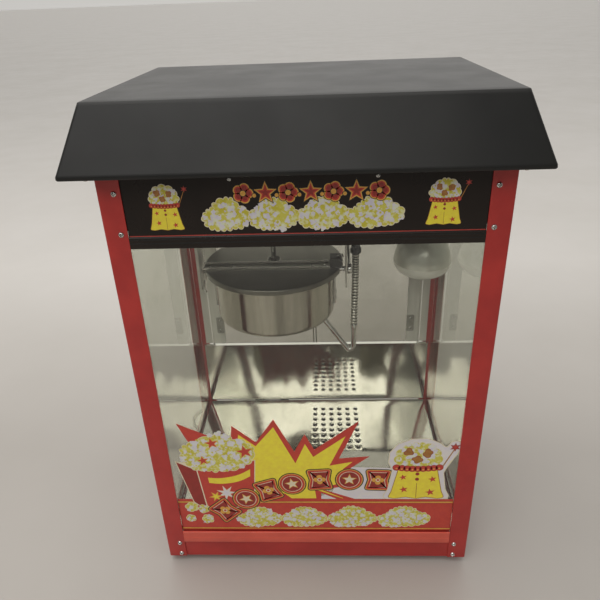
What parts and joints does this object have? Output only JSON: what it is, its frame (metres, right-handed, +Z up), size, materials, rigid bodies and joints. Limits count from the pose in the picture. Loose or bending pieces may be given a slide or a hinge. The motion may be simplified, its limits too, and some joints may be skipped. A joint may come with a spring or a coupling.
{
  "type": "tabletop popcorn machine",
  "caption": "Glazed tabletop popcorn machine with canopy roof, hanging kettle that tips, lamp, rear doors, sieve deck and crumb drawer.",
  "frame": {"origin": "on the table under the middle of the roof, at the underside of the feet", "axes": "+Z up, -Y the customer's side with the front glass, +Y the operator's side with the doors, +X to the customer's right"},
  "size_m": [0.5736, 0.5228, 0.77],
  "materials": {
    "red_paint": "satin red powder paint",
    "black_paint": "satin black powder paint",
    "polished_steel": "mirror polished stainless steel",
    "brushed_steel": "fine brushed stainless steel",
    "kettle_pan": "spun steel pan, satin",
    "heater": "cast heater plate, matt",
    "motor": "zinc gear case, matt",
    "chrome": "bright plated",
    "clear_glass": "clear toughened glass",
    "bulb_glass": "reflector lamp, mirrored neck and frosted face",
    "rubber": "matt black rubber",
    "black_plastic": "moulded black plastic",
    "ceramic": "glazed white lamp holder",
    "cord": "black flexible cord sheath",
    "switch_red": "red rocker",
    "switch_green": "green rocker"
  },
  "bodies": {
    "cabinet": {"base_pan": "red_paint", "ceiling": "brushed_steel", "conduit": "brushed_steel", "conduit_plug": "black_plastic", "cord": "cord", "cord_coil": "cord", "cord_gland": "black_plastic", "deck": "polished_steel", "foot_front_left": "rubber", "foot_front_right": "rubber", "foot_rear_left": "rubber", "foot_rear_right": "rubber", "front_rail": "red_paint", "gear_motor": "motor", "glass_front": "clear_glass", "glass_left": "clear_glass", "glass_right": "clear_glass", "hanger_left": "brushed_steel", "hanger_right": "brushed_steel", "header": "black_paint", "kettle_socket": "black_plastic", "lamp_bulb": "bulb_glass", "lamp_holder": "ceramic", "magnet_catch": "black_plastic", "plug": "black_plastic", "post_front_left": "red_paint", "post_front_right": "red_paint", "post_rear_left": "red_paint", "post_rear_right": "red_paint", "rear_header": "black_paint", "rear_panel": "polished_steel", "roof": "black_paint", "switch_plate": "black_plastic", "top_plate": "black_paint"},
    "door_left": {"door_left": "clear_glass", "stile_left": "brushed_steel", "door_knob_left": "black_plastic"},
    "door_right": {"door_right": "clear_glass", "stile_right": "brushed_steel", "door_knob_right": "black_plastic"},
    "kettle": {"kettle_jacket": "polished_steel", "kettle_pan": "kettle_pan", "heater_plate": "heater", "kettle_bar": "polished_steel", "bar_block": "black_plastic", "pivot_left": "brushed_steel", "pivot_right": "brushed_steel", "tilt_handle": "chrome", "handle_grip": "black_plastic", "elbow": "chrome"},
    "lid_front": {"lid_front": "polished_steel"},
    "lid_rear": {"lid_rear": "polished_steel"},
    "drive_shaft": {"drive_shaft": "chrome"},
    "stirrer": {"stirrer": "brushed_steel"},
    "drawer": {"drawer": "brushed_steel", "drawer_knob": "black_plastic"},
    "rocker_heat": {"rocker_heat": "switch_red"},
    "rocker_stir": {"rocker_stir": "switch_green"},
    "rocker_lamp": {"rocker_lamp": "switch_green"},
    "latch_hook": {"latch_hook": "chrome"}
  },
  "joints": [
    {"name": "door_left_hinge", "type": "hinge", "parent": "cabinet", "child": "door_left", "pos_m": [-0.2125, 0.1907, 0.4], "axis": [0, 0, 1], "range_deg": [0, 100]},
    {"name": "door_right_hinge", "type": "hinge", "parent": "cabinet", "child": "door_right", "pos_m": [0.2125, 0.1907, 0.4], "axis": [0, 0, -1], "range_deg": [0, 100]},
    {"name": "kettle_tilt", "type": "hinge", "parent": "cabinet", "child": "kettle", "pos_m": [-0.057, 0, 0.48], "axis": [-1, 0, 0], "range_deg": [0, 100], "deforming": ["conduit"]},
    {"name": "lid_front_hinge", "type": "hinge", "parent": "kettle", "child": "lid_front", "pos_m": [-0.057, -0.0345, 0.4967], "axis": [-1, 0, 0], "range_deg": [0, 70]},
    {"name": "lid_rear_hinge", "type": "hinge", "parent": "kettle", "child": "lid_rear", "pos_m": [-0.057, -0.0095, 0.4967], "axis": [1, 0, 0], "range_deg": [0, 50]},
    {"name": "drive_spin", "type": "hinge", "parent": "cabinet", "child": "drive_shaft", "pos_m": [-0.057, 0, 0.595], "axis": [0, 0, 1], "continuous": true},
    {"name": "stirrer_spin", "type": "hinge", "parent": "kettle", "child": "stirrer", "pos_m": [-0.057, 0, 0.45], "axis": [0, 0, 1], "continuous": true},
    {"name": "drawer_slide", "type": "slide", "parent": "cabinet", "child": "drawer", "axis": [0, 1, 0], "range_m": [0, 0.12]},
    {"name": "rocker_heat_press", "type": "hinge", "parent": "cabinet", "child": "rocker_heat", "pos_m": [-0.04, 0.195, 0.645], "axis": [1, 0, 0], "range_deg": [0, 10]},
    {"name": "rocker_stir_press", "type": "hinge", "parent": "cabinet", "child": "rocker_stir", "pos_m": [0, 0.195, 0.645], "axis": [1, 0, 0], "range_deg": [0, 10]},
    {"name": "rocker_lamp_press", "type": "hinge", "parent": "cabinet", "child": "rocker_lamp", "pos_m": [0.04, 0.195, 0.645], "axis": [1, 0, 0], "range_deg": [0, 10]},
    {"name": "latch_hook_swing", "type": "hinge", "parent": "cabinet", "child": "latch_hook", "pos_m": [-0.169, -0.013, 0.462], "axis": [1, 0, 0], "range_deg": [-20, 20]}
  ],
  "couplings": [
    {"joint": "drive_spin", "follows": "stirrer_spin", "ratio": 1}
  ]
}
